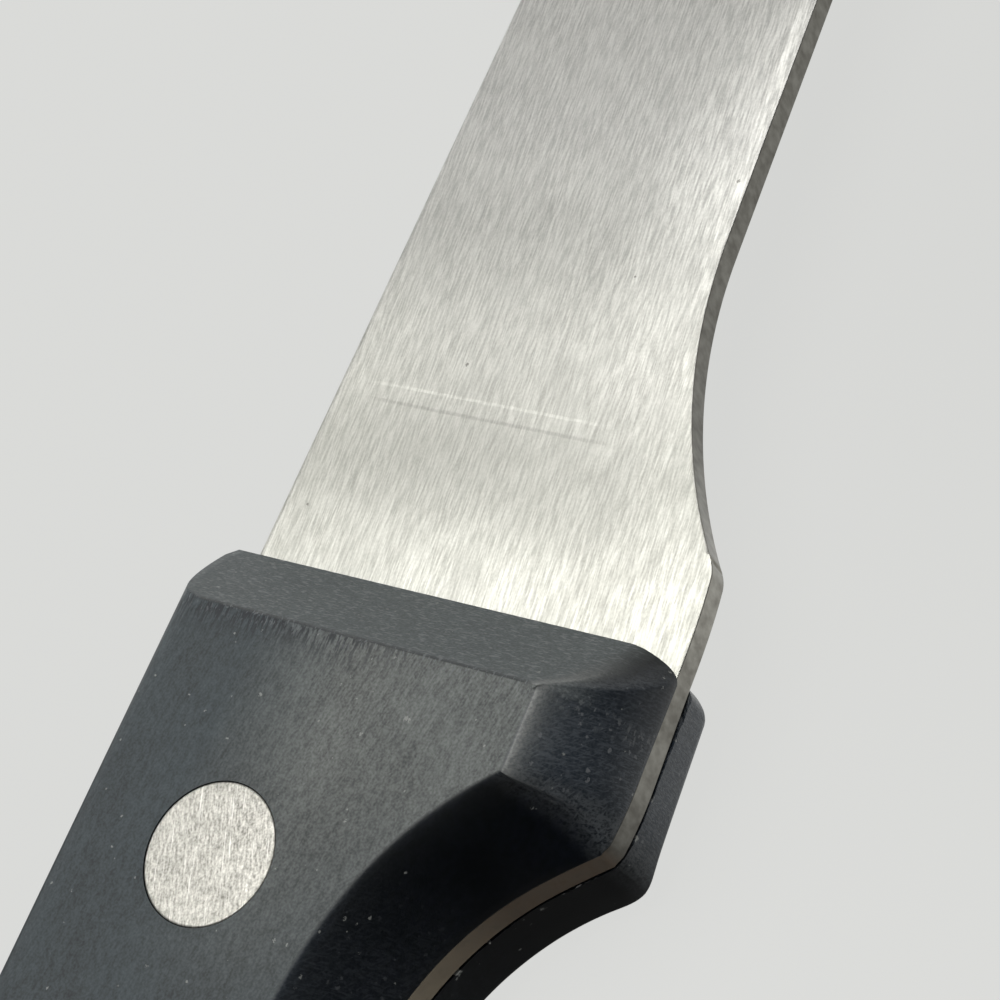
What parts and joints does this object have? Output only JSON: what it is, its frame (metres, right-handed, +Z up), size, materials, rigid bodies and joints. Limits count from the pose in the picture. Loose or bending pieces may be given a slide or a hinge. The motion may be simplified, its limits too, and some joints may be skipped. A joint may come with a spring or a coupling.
{
  "type": "meat fork",
  "caption": "Flat two-tined steel meat fork with a full tang riveted between dark bevelled plastic scales with a guard and a finger scoop.",
  "frame": {"origin": "bottom centre of the fork's bounding box, level with the flat face of the back scale that the fork rests on", "axes": "+X along the fork towards the tines, +Y across it towards the straight spine edge, +Z up out of the front scale"},
  "size_m": [0.286, 0.0272, 0.0126],
  "materials": {
    "steel": "brushed lengthwise",
    "scale_plastic": "satin, lightly scuffed",
    "rivet_metal": "ground flush, satin"
  },
  "bodies": {
    "root": {"fork_blank": "steel", "front_scale": "scale_plastic", "back_scale": "scale_plastic", "guard_rivet_stud": "rivet_metal", "guard_rivet_socket": "rivet_metal", "middle_rivet_stud": "rivet_metal", "middle_rivet_socket": "rivet_metal", "butt_rivet_stud": "rivet_metal", "butt_rivet_socket": "rivet_metal"}
  },
  "joints": []
}
